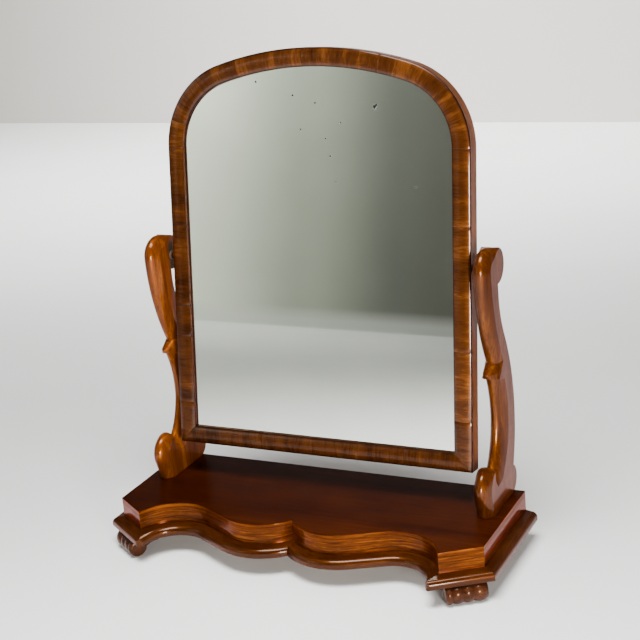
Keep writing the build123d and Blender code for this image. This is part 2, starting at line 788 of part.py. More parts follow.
with BuildPart() as pivot_recess:
    with BuildSketch(edge_face.offset(-plate_thickness)):
        add(plate_outline(pivot_plate_width, joint_gap))
    extrude(amount=plate_thickness)
    add(small_screws(edge_face, -1, joint_gap))

with BuildPart() as friction_washers:
    washer_thickness = upright_inner - frame_half - collar_length - 2 * washer_clearance
    with BuildSketch(socket_face.offset(-washer_clearance - washer_thickness)):
        Circle(washer_radius)
        Circle(pin_radius + washer_bore_clearance, mode=Mode.SUBTRACT)
    extrude(amount=washer_thickness)
    mirror(about=Plane.YZ)
save(friction_washers, "friction_washers")


def knop_section(front, deep, level):
    """Level section of the knop, rounded in front like the edge above and below it."""
    half = upright_thickness / 2
    with BuildSketch(Plane(origin=(upright_middle, back_y, level), x_dir=(0, -1, 0),
                           z_dir=(0, 0, 1))) as section:
        with BuildLine():
            Bezier((front - deep, half), (front + deep / 3, nose_fullness * half),
                   (front + deep / 3, -nose_fullness * half), (front - deep, -half))
            Polyline((front - deep, -half), (knop_root_depth, -half), (knop_root_depth, half),
                     (front - deep, half))
        make_face()
    return section.sketch


lip_fall = unit(knop_front - knop_root_depth, knop_lip_rear - knop_lip)
lip_plane = Plane(origin=(upright_middle, back_y - knop_front, knop_height - knop_lip),
                  x_dir=(1, 0, 0), z_dir=(0, lip_fall[1], lip_fall[0]))

with BuildPart() as knop:
    add(knop_section(knop_bury, knop_bury_nose, knop_height + knop_rise))
    add(knop_section(knop_front, knop_nose, knop_height))
    add(knop_section(knop_foot_front, knop_foot_nose, knop_height - knop_foot))
    loft(ruled=True)
    split(bisect_by=lip_plane, keep=Keep.TOP)

# The rounding is swept along the outline in one length from the knop up over the head,
# one from the knop down the waist, and one round the scroll to its toe. Where it fades
# out, wood of full thickness is carried behind it.
head_carried = head_nose + fade_back
tongue_carried = waist_nose + fade_back
horn_carried = scroll_nose + fade_back
tongue_top = polar(waist, waist_radius, tongue_start)
horn_low = polar(scroll, scroll_radius, horn_start)
horn_tip = polar(scroll, scroll_radius, horn_end)
toe_run = (2 * toe[0] - toe_touch[0], 2 * toe[1] - toe_touch[1])
toe_slope = (toe_touch[0] - toe[0]) / (toe_touch[1] - toe[1])
toe_side = inset(scroll, toe_touch, horn_carried)
scroll_crown = (scroll_front, scroll_height)
toe_centre = (toe_run[0] + scroll[0] - toe_touch[0], toe_run[1] + scroll[1] - toe_touch[1])
toe_inner = (toe_side[0] - (toe_side[1] - top_level) * toe_slope, top_level)
middle_face = upright_face.offset(upright_thickness / 2)
notch_lean = unit(horn_top - notch_foot[0], scroll[1] + scroll_radius - notch_foot[1])
horn_ray = (cos(radians(horn_end)), sin(radians(horn_end)))
notch_turn = lines_cross(notch_foot, notch_lean, scroll, horn_ray)
notch_wall = Plane(origin=(upright_middle, back_y - notch_foot[0], notch_foot[1]),
                   x_dir=(1, 0, 0), z_dir=(0, -notch_lean[1], -notch_lean[0]))

with BuildPart() as nose_head:
    with BuildLine(middle_face) as run:
        arc_about(head, head_touch, belly_top)
        arc_about(belly, belly_top, knop_belly)
    add(nose_section(brow, head_touch, 1, head_nose))
    sweep(path=run.wire())

with BuildPart() as nose_brow:
    with BuildLine(middle_face) as run:
        arc_about(brow, head_touch, curl_touch)
    add(nose_section(brow, head_touch, 1, head_nose, head_carried))
    add(nose_section(brow, curl_touch, 1, run_out, head_carried))
    sweep(path=run.wire(), multisection=True)

with BuildPart() as nose_waist:
    with BuildLine(middle_face) as run:
        arc_about(upper_waist, knop_waist, waist_narrow)
        arc_about(waist, waist_narrow, tongue_top)
    add(nose_section(upper_waist, knop_waist, -1, waist_nose))
    sweep(path=run.wire())
    split(bisect_by=lip_plane, keep=Keep.BOTTOM)

with BuildPart() as nose_tongue:
    with BuildLine(middle_face) as run:
        arc_about(waist, tongue_top, notch_foot)
    add(nose_section(waist, tongue_top, -1, waist_nose, tongue_carried))
    add(nose_section(waist, notch_foot, -1, tongue_nose, tongue_carried))
    sweep(path=run.wire(), multisection=True)

with BuildPart() as nose_horn:
    with BuildLine(middle_face) as run:
        arc_about(scroll, horn_tip, horn_low)
    add(nose_section(scroll, horn_tip, 1, horn_nose, horn_carried))
    add(nose_section(scroll, horn_low, 1, scroll_nose, horn_carried))
    sweep(path=run.wire(), multisection=True)
    split(bisect_by=notch_wall, keep=Keep.TOP)

with BuildPart() as nose_scroll:
    with BuildLine(middle_face) as run:
        arc_about(scroll, horn_low, scroll_crown)
    add(nose_section(scroll, horn_low, 1, scroll_nose))
    sweep(path=run.wire())

with BuildPart() as nose_toe:
    with BuildLine(middle_face) as run:
        arc_about(scroll, scroll_crown, toe_touch)
        Line(toe_touch, toe_run)
    add(nose_section(scroll, scroll_crown, 1, scroll_nose, horn_carried))
    add(nose_section(toe_centre, toe_run, 1, toe_nose, horn_carried))
    sweep(path=run.wire(), multisection=True)
    split(bisect_by=Plane.XY.offset(top_level), keep=Keep.TOP)

with BuildPart() as upright_right:
    with BuildSketch(upright_face):
        with BuildLine():
            arc_about(heel, heel_foot, heel_notch)
            arc_about(back, heel_notch, back_leave)
            arc_about(nape, back_leave, nape_top)
            Line(nape_top, curl_notch)
            arc_about(curl, curl_notch, curl_touch)
            Line(curl_touch, inset(brow, curl_touch, head_carried))
            arc_about(brow, inset(brow, curl_touch, head_carried), inset(brow, head_touch, head_carried))
            Line(inset(brow, head_touch, head_carried), inset(head, head_touch, head_nose))
            arc_about(head, inset(head, head_touch, head_nose), inset(head, belly_top, head_nose))
            arc_about(belly, inset(head, belly_top, head_nose), inset(belly, knop_belly, head_nose))
            Line(inset(belly, knop_belly, head_nose), knop_root)
            arc_about(upper_waist, knop_root, inset(waist, waist_narrow, -waist_nose))
            arc_about(waist, inset(waist, waist_narrow, -waist_nose), inset(waist, tongue_top, -waist_nose))
            Line(inset(waist, tongue_top, -waist_nose), inset(waist, tongue_top, -tongue_carried))
            arc_about(waist, inset(waist, tongue_top, -tongue_carried),
                      inset(waist, notch_foot, -tongue_carried))
            Polyline(inset(waist, notch_foot, -tongue_carried), notch_foot, notch_turn,
                     inset(scroll, horn_tip, horn_carried))
            arc_about(scroll, inset(scroll, horn_tip, horn_carried), inset(scroll, horn_low, horn_carried))
            Line(inset(scroll, horn_low, horn_carried), inset(scroll, horn_low, scroll_nose))
            arc_about(scroll, inset(scroll, horn_low, scroll_nose), inset(scroll, scroll_crown, scroll_nose))
            Line(inset(scroll, scroll_crown, scroll_nose), inset(scroll, scroll_crown, horn_carried))
            arc_about(scroll, inset(scroll, scroll_crown, horn_carried), toe_side)
            Polyline(toe_side, toe_inner, heel_foot)
        make_face()
    extrude(amount=upright_thickness)
    for piece in (nose_head, nose_brow, nose_waist, nose_tongue, nose_horn, nose_scroll, nose_toe,
                  knop):
        add(piece.part)
    add(upright_screw_set(joint_gap), mode=Mode.SUBTRACT)
    add(socket_recess.part, mode=Mode.SUBTRACT)
save_pair(upright_right, "upright")

# ---------------------------------------------------------------- mirror frame
# Drawn in the plane of the frame: X across and Y up from the pivot, depth from the front.


def at_depth(depth):
    """Plane parallel to the frame, so far behind the front of its facings."""
    middle = Plane(origin=pivot, x_dir=(1, 0, 0), z_dir=(0, -cos(lean), sin(lean)))
    return middle.offset(frame_depth / 2 - depth)


frame_bottom = -pivot_from_bottom
crown_centre = (0.0, frame_above - crown_radius)
shoulder_centre = (frame_half - shoulder_radius, straight_top)
arch_dir = unit(shoulder_centre[0] - crown_centre[0], shoulder_centre[1] - crown_centre[1])


def arch_touch(inset_by):
    """Where the crown's flat arc runs into the right shoulder."""
    reach = crown_radius - inset_by
    return (crown_centre[0] + reach * arch_dir[0], crown_centre[1] + reach * arch_dir[1])


def arch_line(inset_by):
    """The arch from its right springing to its left one."""
    right = (frame_half - inset_by, straight_top)
    touch = arch_touch(inset_by)
    far_touch = (-touch[0], touch[1])
    left = (-right[0], straight_top)
    arc_about(shoulder_centre, right, touch)
    ThreePointArc(touch, (0, frame_above - inset_by), far_touch)
    arc_about((-shoulder_centre[0], shoulder_centre[1]), far_touch, left)
    return right, left


def arched(inset_by):
    """The arched outline, moved in."""
    with BuildSketch() as outline:
        with BuildLine():
            right, left = arch_line(inset_by)
            bottom = frame_bottom + inset_by
            Polyline(left, (left[0], bottom), (right[0], bottom), right)
        make_face()
    return outline.sketch


def arched_ring(outer, inner):
    """Band between two arched outlines."""
    with BuildSketch() as band:
        add(arched(outer))
        add(arched(inner), mode=Mode.SUBTRACT)
    return band.sketch


# Round-headed pins hold the backboard on the core's step.
pin_places = [(0.0, frame_above - pin_inset)]
for side in (-1, 1):
    pin_places.append((side * pin_across, frame_bottom + pin_inset))
    for height in pin_heights:
        pin_places.append((side * (frame_half - pin_inset), height))


def pin_set(ease=0.0):
    """All the pins of the backboard."""
    head_plane = at_depth(frame_depth - ledge_depth + backboard_thickness + pin_nail_rim)
    with BuildPart() as pins:
        for x, y in pin_places:
            place = head_plane.from_local_coords((x, y, 0))
            add(screw(tuple(place), (0, -cos(lean), sin(lean)), pin_nail_length, pin_nail_radius,
                      pin_nail_head, pin_nail_rim, 0, ease))
    return pins.part


with BuildPart() as backboard_pins:
    add(pin_set())
save(backboard_pins, "backboard_pins")

# The core is one rebated section all round: full width in front, and a step behind for
# the backboard. It is sawn into two stiles, a bottom rail and the arch.
core_inner = frame_half - core_width
step_depth = frame_depth - ledge_depth
rail_top = frame_bottom + core_width
tenon_front = (facing_depth + step_depth - tenon_thickness) / 2

with BuildPart() as core:
    with BuildSketch(at_depth(facing_depth)):
        add(arched_ring(0, core_width))
    extrude(amount=facing_depth - step_depth)
    with BuildSketch(at_depth(step_depth)):
        add(arched_ring(0, core_width - ledge_width))
    extrude(amount=-ledge_depth)
    add(pin_set(joint_gap), mode=Mode.SUBTRACT)

stile_joint = Plane(origin=(core_inner, pivot[1], pivot[2]), x_dir=(0, 1, 0), z_dir=(1, 0, 0))
springing = at_depth(0).from_local_coords((0, straight_top, 0))
arch_joint = Plane(origin=springing, x_dir=(1, 0, 0), z_dir=(0, sin(lean), cos(lean)))


def tenon_outline(ease):
    """Tenon of the bottom rail, seen from the front of the frame."""
    with BuildSketch() as outline:
        with Locations((core_inner, frame_bottom + tenon_shoulder - ease)):
            Rectangle(tenon_length + ease, core_width - 2 * tenon_shoulder + 2 * ease,
                      align=(Align.MIN, Align.MIN))
    return outline.sketch


def tongue_outline(ease):
    """Tongue of the arch, let into the top of the stile."""
    with BuildSketch() as outline:
        with Locations((core_inner + tenon_shoulder - ease, straight_top)):
            Rectangle(core_width - 2 * tenon_shoulder + 2 * ease, tenon_length + ease,
                      align=(Align.MIN, Align.MAX))
    return outline.sketch


with BuildPart() as stile_right:
    add(core.part)
    split(bisect_by=stile_joint, keep=Keep.TOP)
    split(bisect_by=arch_joint, keep=Keep.BOTTOM)
    with BuildSketch(at_depth(tenon_front - joint_gap)):
        add(tenon_outline(joint_gap))
        add(tongue_outline(joint_gap))
    extrude(amount=-(tenon_thickness + 2 * joint_gap), mode=Mode.SUBTRACT)
    add(pivot_recess.part, mode=Mode.SUBTRACT)
save_pair(stile_right, "stile")

with BuildPart() as bottom_rail:
    add(core.part)
    split(bisect_by=arch_joint, keep=Keep.BOTTOM)
    split(bisect_by=stile_joint, keep=Keep.BOTTOM)
    split(bisect_by=stile_joint.offset(-2 * core_inner), keep=Keep.TOP)
    with BuildSketch(at_depth(tenon_front)):
        add(tenon_outline(0))
        mirror(about=Plane.YZ)
    extrude(amount=-tenon_thickness)
save(bottom_rail, "bottom_rail")

with BuildPart() as frame_arch:
    add(core.part)
    split(bisect_by=arch_joint, keep=Keep.TOP)
    with BuildSketch(at_depth(tenon_front)):
        add(tongue_outline(0))
        mirror(about=Plane.YZ)
    extrude(amount=-tenon_thickness)
save(frame_arch, "frame_arch")

# ---------------------------------------------------------------- facings
# Cushion-shaped, cut across the grain, mitred at the foot. Each is sketched across its
# length: X in from the frame's outer edge, Y forward from the core.


def facing_section():
    """Section of a facing, with a softened outer edge."""
    with BuildSketch() as section:
        with BuildLine():
            crown = (face_width / 2, facing_edge + cushion_rise)
            Polyline((0, facing_edge), (0, 0), (face_width, 0), (face_width, facing_edge))
            ThreePointArc((face_width, facing_edge), crown, (0, facing_edge))
        make_face()
        fillet(section_corners(), facing_round)
    return section.sketch


def section_corners():
    """The two front corners of the section being drawn."""
    return vertices().group_by(Axis.Y)[-1]


core_front = at_depth(facing_depth)
up_dir = core_front.y_dir
out_dir = core_front.z_dir
right_corner = core_front.from_local_coords((frame_half, frame_bottom, 0))
right_spring = core_front.from_local_coords((frame_half, straight_top, 0))
foot_mitre = Plane(origin=right_corner, x_dir=out_dir,
                   z_dir=(sqrt(0.5), sqrt(0.5) * sin(lean), sqrt(0.5) * cos(lean)))

with BuildPart() as facing_right:
    with BuildSketch(Plane(origin=right_corner, x_dir=(-1, 0, 0), z_dir=up_dir)):
        add(facing_section())
    extrude(amount=straight_top - frame_bottom)
    split(bisect_by=foot_mitre, keep=Keep.TOP)
save_pair(facing_right, "facing")

with BuildPart() as facing_arch:
    with BuildLine(core_front) as run:
        arch_line(0)
    with BuildSketch(Plane(origin=right_spring, x_dir=(-1, 0, 0), z_dir=up_dir)):
        add(facing_section())
    sweep(path=run.wire())
save(facing_arch, "facing_arch")

with BuildPart() as facing_bottom:
    with BuildSketch(Plane(origin=right_corner, x_dir=up_dir, z_dir=(1, 0, 0))):
        add(facing_section())
    extrude(amount=-frame_half)
    split(bisect_by=foot_mitre, keep=Keep.BOTTOM)
    mirror(about=Plane.YZ)
save(facing_bottom, "facing_bottom")

# ---------------------------------------------------------------- glass and back
glass_inset = core_width + glass_clearance
back_inset = core_width - ledge_width + glass_clearance
glass_back = facing_depth + glass_thickness

with BuildPart() as mirror_glass:
    with BuildSketch(at_depth(facing_depth)):
        add(arched(glass_inset))
    extrude(amount=-glass_thickness)
save(mirror_glass, "mirror_glass")

with BuildPart() as glass_blocks:
    with BuildSketch(at_depth(glass_back)):
        for side in (-1, 1):
            for height in block_heights:
                with Locations((side * core_inner, height)):
                    Rectangle(2 * glass_block_width, glass_block_length)
            with Locations((side * block_across, rail_top), (side * block_across, frame_above - core_width)):
                Rectangle(glass_block_length, 2 * glass_block_width + 2 * block_sag)
        add(arched(core_width), mode=Mode.INTERSECT)
    extrude(amount=glass_back - step_depth)
save(glass_blocks, "glass_blocks")

with BuildPart() as backboard:
    with BuildSketch(at_depth(step_depth)):
        add(arched(back_inset))
    extrude(amount=-backboard_thickness)
    rear_face = backboard.faces().sort_by(Axis(origin=(0, 0, 0), direction=(0, cos(lean), -sin(lean))))[-1]
    chamfer(rear_face.edges(), backboard_bevel, backboard_chamfer)
    add(pin_set(joint_gap), mode=Mode.SUBTRACT)
save(backboard, "backboard")
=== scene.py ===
import json
import random
from math import atan2, cos, pi, radians, sin

import bmesh
import bpy
from mathutils import Matrix, Vector


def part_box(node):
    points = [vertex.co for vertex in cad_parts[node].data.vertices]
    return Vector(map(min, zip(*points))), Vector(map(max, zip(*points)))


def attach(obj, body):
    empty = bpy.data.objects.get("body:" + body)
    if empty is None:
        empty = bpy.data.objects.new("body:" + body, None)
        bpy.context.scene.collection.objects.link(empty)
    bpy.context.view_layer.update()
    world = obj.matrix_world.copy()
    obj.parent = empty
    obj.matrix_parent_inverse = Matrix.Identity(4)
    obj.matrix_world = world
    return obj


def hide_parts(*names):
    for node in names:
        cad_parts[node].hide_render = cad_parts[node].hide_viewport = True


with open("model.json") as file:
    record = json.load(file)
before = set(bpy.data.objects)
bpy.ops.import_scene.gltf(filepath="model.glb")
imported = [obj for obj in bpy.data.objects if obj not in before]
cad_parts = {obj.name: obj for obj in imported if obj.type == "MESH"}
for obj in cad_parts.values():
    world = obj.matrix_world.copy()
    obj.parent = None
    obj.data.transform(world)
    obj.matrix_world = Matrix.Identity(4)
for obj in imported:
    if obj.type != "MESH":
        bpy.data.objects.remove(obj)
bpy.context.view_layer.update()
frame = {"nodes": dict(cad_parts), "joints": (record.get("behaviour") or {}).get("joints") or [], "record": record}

# Swing toilet mirror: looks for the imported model. X right, Y back, Z up, in metres.

NODES = frame["nodes"]
LEAN = radians(8.0)
PIVOT = Vector((0, *frame["joints"][0]["pos_m"][1:]))
BOARD_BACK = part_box("top_board")[1].y

# ---------------------------------------------------------------- camera
# The photograph's camera: a telephoto view from the right, above and in front.
CAMERA_RIGHT = 0.9015
CAMERA_FORWARD = 1.7913      # in front of the board's back edge
CAMERA_HEIGHT = 0.9687
CAMERA_YAW = radians(27.16)
CAMERA_PITCH = radians(17.95)
CAMERA_ROLL = radians(-5.24)
CAMERA_LENS = 79.79          # millimetres, on a 36 mm wide sensor


def make_camera():
    """Camera at the photograph's place, with no shift and no depth of field."""
    ahead = Vector((-sin(CAMERA_YAW) * cos(CAMERA_PITCH), cos(CAMERA_YAW) * cos(CAMERA_PITCH),
                    -sin(CAMERA_PITCH)))
    level = Vector((cos(CAMERA_YAW), sin(CAMERA_YAW), 0))
    above = level.cross(ahead)
    right = cos(CAMERA_ROLL) * level + sin(CAMERA_ROLL) * above
    up = cos(CAMERA_ROLL) * above - sin(CAMERA_ROLL) * level
    data = bpy.data.cameras.new("photo_camera")
    data.sensor_width = 36.0
    data.lens = CAMERA_LENS
    data.clip_end = 50.0
    camera = bpy.data.objects.new("photo_camera", data)
    bpy.context.scene.collection.objects.link(camera)
    turn = Matrix((right, up, -ahead)).transposed().to_4x4()
    camera.matrix_world = Matrix.Translation((CAMERA_RIGHT, BOARD_BACK - CAMERA_FORWARD,
                                              CAMERA_HEIGHT)) @ turn
    bpy.context.scene.camera = camera


def frame_point(across, up, out):
    """A point of the leaning frame: across, up its plane and out of it, from the pivot."""
    return PIVOT + Vector((across, sin(LEAN) * up - cos(LEAN) * out,
                           cos(LEAN) * up + sin(LEAN) * out))


# ---------------------------------------------------------------- node helpers
class Shader:
    """A material's node tree, with short calls for the nodes used here."""

    def __init__(self, name):
        self.material = bpy.data.materials.new(name)
        self.material.use_nodes = True
        self.tree = self.material.node_tree
        self.tree.nodes.clear()
        output = self.tree.nodes.new("ShaderNodeOutputMaterial")
        self.surface = self.tree.nodes.new("ShaderNodeBsdfPrincipled")
        self.link(self.surface.outputs[0], output.inputs[0])

    def link(self, source, target):
        self.tree.links.new(source, target)

    def node(self, kind, inputs=(), **settings):
        """New node, with settings on it and (socket, value or output) pairs for its inputs."""
        made = self.tree.nodes.new(kind)
        for key, value in settings.items():
            setattr(made, key, value)
        for socket, value in inputs:
            if isinstance(value, bpy.types.NodeSocket):
                self.link(value, made.inputs[socket])
            else:
                made.inputs[socket].default_value = value
        return made

    def place(self, stretch=(1, 1, 1), source=None):
        """Coordinates of a point, or another vector, stretched."""
        if source is None:
            source = self.node("ShaderNodeTexCoord").outputs["Object"]
        return self.node("ShaderNodeMapping", [("Vector", source), ("Scale", stretch)]).outputs[0]

    def split(self, vector):
        """X, Y and Z of a vector."""
        return self.node("ShaderNodeSeparateXYZ", [(0, vector)]).outputs

    def attribute(self, name, output="Fac"):
        """Value that a mesh carries under a name."""
        return self.node("ShaderNodeAttribute", attribute_name=name).outputs[output]

    def noise(self, vector, scale, detail, roughness, distortion=0.0):
        made = self.node("ShaderNodeTexNoise", [
            ("Vector", vector), ("Scale", scale), ("Detail", detail), ("Roughness", roughness),
            ("Distortion", distortion)])
        return made.outputs["Fac"]

    def ramp(self, factor, stops):
        """Colour ramp from (place, colour) stops."""
        made = self.node("ShaderNodeValToRGB", [("Fac", factor)])
        ramp = made.color_ramp
        ramp.interpolation = "EASE"
        while len(ramp.elements) < len(stops):
            ramp.elements.new(0.5)
        for element, (spot, colour) in zip(ramp.elements, stops):
            element.position = spot
            element.color = (*colour, 1)
        return made.outputs[0]

    def mix(self, factor, first, second, blend="MIX"):
        """Mix of two colours."""
        made = self.node("ShaderNodeMix", data_type="RGBA", blend_type=blend)
        for socket, value in ((0, factor), (6, first), (7, second)):
            if isinstance(value, bpy.types.NodeSocket):
                self.link(value, made.inputs[socket])
            else:
                made.inputs[socket].default_value = value if socket == 0 else (*value, 1)
        return made.outputs[2]

    def math(self, operation, first, second=0.0):
        made = self.node("ShaderNodeMath", [(0, first), (1, second)], operation=operation)
        return made.outputs[0]

    def span(self, value, low, high, out_low=0.0, out_high=1.0):
        """Value moved from one range to another, and held at its ends."""
        made = self.node("ShaderNodeMapRange", [
            ("Value", value), ("From Min", low), ("From Max", high), ("To Min", out_low),
            ("To Max", out_high)])
        return made.outputs[0]

    def glancing(self, low, high):
        """Rises from low, where a surface is seen squarely, to high where it is seen edge on."""
        facing = self.node("ShaderNodeLayerWeight", [("Blend", 0.5)]).outputs["Facing"]
        return self.span(facing, 0.40, 0.66, low, high)

    def bump(self, height, strength, distance, soft_edge=0.0):
        """Relief, over edges that look slightly rounded where soft_edge is set."""
        made = self.node("ShaderNodeBump", [("Height", height), ("Strength", strength),
                                            ("Distance", distance)])
        if soft_edge:
            edge = self.node("ShaderNodeBevel", [("Radius", soft_edge)], samples=4)
            self.link(edge.outputs[0], made.inputs["Normal"])
        self.link(made.outputs[0], self.surface.inputs["Normal"])

    def set(self, **values):
        """Values or outputs on the shader's own sockets, with _ for a space in a name."""
        for name, value in values.items():
            socket = self.surface.inputs[name.replace("_", " ")]
            if isinstance(value, bpy.types.NodeSocket):
                self.link(value, socket)
            else:
                socket.default_value = value


# ---------------------------------------------------------------- materials
WIDTH = 0.027                # of a facing
NEAR_MIDDLE = 0.1            # the pieces of a pair stand farther than this from the middle
WHITE = (1, 1, 1)
AMBER = (1.0, 0.40, 0.09, 1.0)       # colour of the broad sheen of the fibres
# The way the grain runs, as the stretch of its coordinates.
ALONG_X = (0.055, 1, 1)
ALONG_EDGE = (0.05, 0.05, 1)         # level streaks that follow a curved front
ALONG_Z = (1, 1, 0.055)


def grain_tone(s, vector, wide, fine):
    """Streaks along the grain: broad bands, with fine lines in them."""
    bands = s.noise(vector, wide, 2.0, 0.5, 0.5)
    lines = s.noise(vector, fine, 4.0, 0.65, 0.15)
    return s.math("ADD", s.math("MULTIPLY", bands, 0.55), s.math("MULTIPLY", lines, 0.45))


def with_pores(s, base, vector, scale):
    """Short dark pores over a colour."""
    shade = s.ramp(s.noise(vector, scale, 1.0, 0.5), [(0.32, (0.35, 0.28, 0.24)), (0.44, WHITE)])
    return s.mix(0.5, base, shade, "MULTIPLY")


def wood_colour(s, vector, tones, wide, fine):
    """Mahogany's colour: three tones of streaks, soft clouds and short dark pores."""
    dark, middle, light = tones
    streaks = grain_tone(s, vector, wide, fine)
    base = s.ramp(streaks, [(0.36, dark), (0.50, middle), (0.64, light)])
    cloud = s.noise(s.place(), 17.0, 2.0, 0.5)
    shade = s.ramp(cloud, [(0.32, (0.66, 0.62, 0.58)), (0.66, WHITE)])
    return with_pores(s, s.mix(0.6, base, shade, "MULTIPLY"), vector, 1300.0)


def mahogany(name, tones, stretch, depth, shine, rough=0.34, coat=0.10, wide=55.0, fine=300.0,
             left=1.0):
    """French-polished mahogany. depth is the share of light that its fibres throw back in
    their own colour, which makes it glow where it faces the light. coat is the polish seen
    squarely and shine the polish seen edge on. The left-hand one of a pair is paler by the
    factor left."""
    s = Shader(name)
    grain = s.place(stretch)
    wear = s.noise(s.place(), 60.0, 3.0, 0.6)
    base = wood_colour(s, grain, tones, wide, fine)
    if left != 1.0:
        factor = s.span(s.split(s.place())[0], -NEAR_MIDDLE, NEAR_MIDDLE, left, 1.0)
        lift = s.node("ShaderNodeCombineXYZ", [(axis, factor) for axis in range(3)])
        base = s.mix(1.0, base, lift.outputs[0], "MULTIPLY")
    s.set(Base_Color=base, Metallic=depth,
          Roughness=s.span(wear, 0.3, 0.7, rough, rough + 0.10),
          Coat_Weight=s.glancing(coat, shine), Coat_Roughness=0.09, Coat_IOR=1.55,
          Specular_IOR_Level=0.12, Specular_Tint=AMBER)
    s.bump(s.noise(grain, 420.0, 2.0, 0.6), 0.05, 0.0003, soft_edge=0.0007)
    return s.material


def board_mahogany(name, top_tones, edge_tones):
    """Top board: dark and nearly dull above, and like the frieze round its edge."""
    s = Shader(name)
    grain = s.place(ALONG_X)
    normal = s.node("ShaderNodeTexCoord").outputs["Normal"]
    above = s.span(s.split(normal)[2], 0.35, 0.65)
    cloud = s.noise(s.place((1, 0.5, 1)), 6.0, 2.0, 0.5)
    top = wood_colour(s, grain, top_tones, wide=38.0, fine=190.0)
    top = s.mix(0.8, top, s.ramp(cloud, [(0.3, (0.62, 0.56, 0.52)), (0.7, WHITE)]), "MULTIPLY")
    edge = wood_colour(s, s.place(ALONG_EDGE), edge_tones, wide=210.0, fine=760.0)
    polish = s.math("MULTIPLY", s.span(above, 0.0, 1.0, 1.0, 0.08), s.glancing(0.10, 0.3))
    s.set(Base_Color=s.mix(above, edge, top), Metallic=s.span(above, 0.0, 1.0, 0.55, 0.10),
          Roughness=s.span(cloud, 0.3, 0.7, 0.30, 0.36), Coat_Weight=polish, Coat_Roughness=0.07,
          Specular_IOR_Level=0.03, Specular_Tint=AMBER)
    s.bump(s.noise(grain, 420.0, 2.0, 0.6), 0.04, 0.0003, soft_edge=0.0007)
    return s.material


def facing_mahogany(name, tones):
    """Cross-grained facings: each block has its own tone, and its bands run across it."""
    s = Shader(name)
    where = s.attribute("grain", "Vector")
    seam = s.attribute("seam")
    vector = s.place((1, 0.16, 1), where)
    tone = grain_tone(s, vector, wide=46.0, fine=330.0)
    tone = s.math("ADD", tone, s.attribute("tone"))
    dark, middle, light = tones
    base = s.ramp(tone, [(0.33, dark), (0.49, middle), (0.67, light)])
    base = with_pores(s, base, s.place((1, 0.08, 1), where), 1500.0)
    aside = s.math("ABSOLUTE", s.math("SUBTRACT", s.split(where)[1], WIDTH / 2))
    # Both long edges darken to near black: painted shade at the inner edge beside the glass, and a dark joint line
    # at the outer edge against the core.
    edge_shade_and_joint = s.span(aside, 0.37 * WIDTH, 0.48 * WIDTH, 0.0, 0.88)
    base = s.mix(edge_shade_and_joint, base, (0.012, 0.004, 0.002))
    base = s.mix(s.math("MULTIPLY", seam, 0.75), base, (0.012, 0.006, 0.004))
    wear = s.noise(s.place(), 60.0, 3.0, 0.6)
    rounding = s.span(aside, 0.25 * WIDTH, 0.38 * WIDTH, 0.0, 0.7)
    rim = s.span(aside, 0.44 * WIDTH, 0.475 * WIDTH, 1.0, 0.05)
    polish = s.math("MULTIPLY", s.math("MAXIMUM", s.glancing(0.20, 0.45), rounding), rim)
    polish = s.math("MULTIPLY", polish, s.math("SUBTRACT", 1.0, seam))
    rough = s.math("ADD", s.span(wear, 0.3, 0.7, 0.30, 0.40), s.math("MULTIPLY", seam, 0.5))
    s.set(Base_Color=base, Metallic=s.span(seam, 0.0, 1.0, 0.55, 0.0), Roughness=rough,
          Coat_Weight=polish, Coat_Roughness=0.07, Specular_IOR_Level=0.12, Specular_Tint=AMBER)
    s.bump(s.noise(vector, 160.0, 3.0, 0.6), 0.10, 0.0004)
    return s.material


def plain_wood(name, dark, light, stretch):
    """Planed wood with no polish."""
    s = Shader(name)
    grain = s.place(stretch)
    streaks = s.noise(grain, 110.0, 5.0, 0.6, 0.3)
    fibres = s.noise(grain, 420.0, 2.0, 0.6)
    base = s.ramp(streaks, [(0.35, dark), (0.64, light)])
    base = s.mix(0.35, base, s.ramp(fibres, [(0.3, (0.6, 0.6, 0.6)), (0.6, WHITE)]), "MULTIPLY")
    s.set(Base_Color=base, Roughness=s.span(fibres, 0.3, 0.7, 0.55, 0.75))
    s.bump(fibres, 0.12, 0.0004, soft_edge=0.0006)
    return s.material


# Places where the silvering has gone: across and up from the pivot, and radius, in metres.
FOXED = ((-0.089, 0.259, 0.0012), (-0.030, 0.239, 0.0012), (0.005, 0.228, 0.0010),
         (-0.019, 0.191, 0.0009), (0.020, 0.178, 0.0009), (0.027, 0.153, 0.0013),
         (0.044, 0.200, 0.0010), (0.097, 0.222, 0.0021), (0.0995, 0.2245, 0.0015),
         (0.035, 0.117, 0.0008), (0.157, 0.111, 0.0010))
GLASS_OUT = 0.006            # face of the glass in front of the frame's middle plane


def old_silver(name):
    """Silvered glass, faintly hazed, with a few dark specks."""
    s = Shader(name)
    where = s.node("ShaderNodeTexCoord").outputs["Object"]
    haze = s.noise(where, 9.0, 3.0, 0.5)
    ragged = s.span(s.noise(where, 900.0, 3.0, 0.6), 0.3, 0.7, 0.65, 1.45)
    gone = None
    for across, up, radius in FOXED:
        gap = s.node("ShaderNodeVectorMath", [(0, where), (1, frame_point(across, up, GLASS_OUT))],
                     operation="DISTANCE").outputs["Value"]
        spot = s.span(s.math("MULTIPLY", gap, ragged), 1.6 * radius, 1.1 * radius)
        gone = spot if gone is None else s.math("MAXIMUM", gone, spot)
    silver = s.ramp(haze, [(0.2, (0.73, 0.77, 0.70)), (0.8, (0.79, 0.825, 0.76))])
    rough = s.math("ADD", s.span(haze, 0.3, 0.7, 0.015, 0.03), s.math("MULTIPLY", gone, 0.85))
    s.set(Base_Color=s.mix(gone, silver, (0.006, 0.007, 0.006)), Roughness=rough,
          Metallic=s.span(gone, 0.0, 1.0, 1.0, 0.0), Specular_IOR_Level=0.1)
    return s.material


